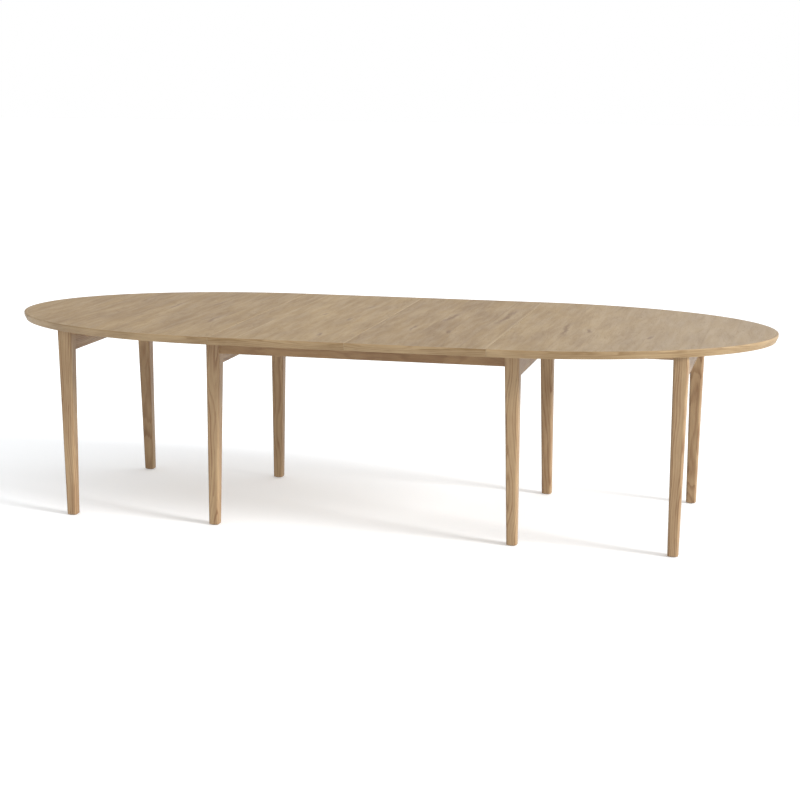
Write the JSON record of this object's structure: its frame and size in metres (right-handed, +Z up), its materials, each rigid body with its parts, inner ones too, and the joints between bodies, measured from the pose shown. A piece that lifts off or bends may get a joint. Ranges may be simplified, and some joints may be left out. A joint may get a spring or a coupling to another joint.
{
  "type": "extendable dining table",
  "caption": "Extendable oak dining table: half-elliptical end sections slide out of a legged centre frame on hardwood runners, with loose leaves between them and tapered legs.",
  "frame": {"origin": "on the floor, below the middle of the table top", "axes": "+X along the table's length, +Y across it towards the back, +Z up"},
  "size_m": [2.9, 1.2, 0.74],
  "materials": {
    "oak_top": "matt oiled oak",
    "oak_lipping": "matt oiled oak",
    "oak_frame": "matt oiled oak",
    "beech_runners": "waxed beech",
    "pine_blocks": "sanded softwood",
    "beech_dowels": "plain beech",
    "steel_fasteners": "zinc plated steel",
    "steel_locks": "zinc plated steel",
    "nylon_glides": "moulded nylon"
  },
  "bodies": {
    "centre_frame": {"back_left_guide": "beech_runners", "back_left_inner_leg": "oak_frame", "back_right_guide": "beech_runners", "back_right_inner_leg": "oak_frame", "back_side_rail": "oak_frame", "centre_bearer": "pine_blocks", "centre_glides": "nylon_glides", "corner_blocks": "pine_blocks", "frame_screws": "steel_fasteners", "front_left_guide": "beech_runners", "front_left_inner_leg": "oak_frame", "front_right_guide": "beech_runners", "front_right_inner_leg": "oak_frame", "front_side_rail": "oak_frame", "left_cross_rail": "oak_frame", "right_cross_rail": "oak_frame"},
    "left_end_section": {"back_left_outer_leg": "oak_frame", "back_left_runner": "beech_runners", "front_left_outer_leg": "oak_frame", "front_left_runner": "beech_runners", "left_end_lipping": "oak_lipping", "left_end_lock_plates": "steel_locks", "left_end_rail": "oak_frame", "left_end_screws": "steel_fasteners", "left_end_top": "oak_top", "left_glides": "nylon_glides", "left_runner_stops": "steel_fasteners"},
    "right_end_section": {"back_right_outer_leg": "oak_frame", "back_right_runner": "beech_runners", "front_right_outer_leg": "oak_frame", "front_right_runner": "beech_runners", "right_end_dowels": "beech_dowels", "right_end_keepers": "steel_locks", "right_end_lipping": "oak_lipping", "right_end_rail": "oak_frame", "right_end_screws": "steel_fasteners", "right_end_top": "oak_top", "right_glides": "nylon_glides", "right_runner_stops": "steel_fasteners"},
    "left_leaf_section": {"left_leaf": "oak_top", "left_leaf_back_lipping": "oak_lipping", "left_leaf_battens": "pine_blocks", "left_leaf_dowels": "beech_dowels", "left_leaf_front_lipping": "oak_lipping", "left_leaf_keepers": "steel_locks", "left_leaf_lock_plates": "steel_locks"},
    "right_leaf_section": {"right_leaf": "oak_top", "right_leaf_back_lipping": "oak_lipping", "right_leaf_battens": "pine_blocks", "right_leaf_dowels": "beech_dowels", "right_leaf_front_lipping": "oak_lipping", "right_leaf_keepers": "steel_locks", "right_leaf_lock_plates": "steel_locks"},
    "back_left_hook": {"back_left_hook": "steel_locks"},
    "back_middle_hook": {"back_middle_hook": "steel_locks"},
    "back_right_hook": {"back_right_hook": "steel_locks"},
    "front_left_hook": {"front_left_hook": "steel_locks"},
    "front_middle_hook": {"front_middle_hook": "steel_locks"},
    "front_right_hook": {"front_right_hook": "steel_locks"}
  },
  "joints": [
    {"name": "left_end_slide", "type": "slide", "parent": "centre_frame", "child": "left_end_section", "axis": [1, 0, 0], "range_m": [0, 0.5]},
    {"name": "right_end_slide", "type": "slide", "parent": "centre_frame", "child": "right_end_section", "axis": [-1, 0, 0], "range_m": [0, 0.5]},
    {"name": "left_leaf_lift", "type": "slide", "parent": "centre_frame", "child": "left_leaf_section", "axis": [0, 0, 1], "range_m": [0, 0.5]},
    {"name": "right_leaf_lift", "type": "slide", "parent": "centre_frame", "child": "right_leaf_section", "axis": [0, 0, 1], "range_m": [0, 0.5]},
    {"name": "front_left_lock", "type": "hinge", "parent": "left_end_section", "child": "front_left_hook", "pos_m": [-0.53, -0.49, 0.708], "axis": [0, 0, -1], "range_deg": [0, 90]},
    {"name": "back_left_lock", "type": "hinge", "parent": "left_end_section", "child": "back_left_hook", "pos_m": [-0.53, 0.49, 0.708], "axis": [0, 0, 1], "range_deg": [0, 90]},
    {"name": "front_middle_lock", "type": "hinge", "parent": "left_leaf_section", "child": "front_middle_hook", "pos_m": [-0.03, -0.49, 0.708], "axis": [0, 0, -1], "range_deg": [0, 90]},
    {"name": "back_middle_lock", "type": "hinge", "parent": "left_leaf_section", "child": "back_middle_hook", "pos_m": [-0.03, 0.49, 0.708], "axis": [0, 0, 1], "range_deg": [0, 90]},
    {"name": "front_right_lock", "type": "hinge", "parent": "right_leaf_section", "child": "front_right_hook", "pos_m": [0.47, -0.49, 0.708], "axis": [0, 0, -1], "range_deg": [0, 90]},
    {"name": "back_right_lock", "type": "hinge", "parent": "right_leaf_section", "child": "back_right_hook", "pos_m": [0.47, 0.49, 0.708], "axis": [0, 0, 1], "range_deg": [0, 90]}
  ],
  "couplings": [
    {"joint": "left_leaf_lift", "follows": "left_end_slide", "ratio": 1},
    {"joint": "right_leaf_lift", "follows": "right_end_slide", "ratio": 1}
  ]
}
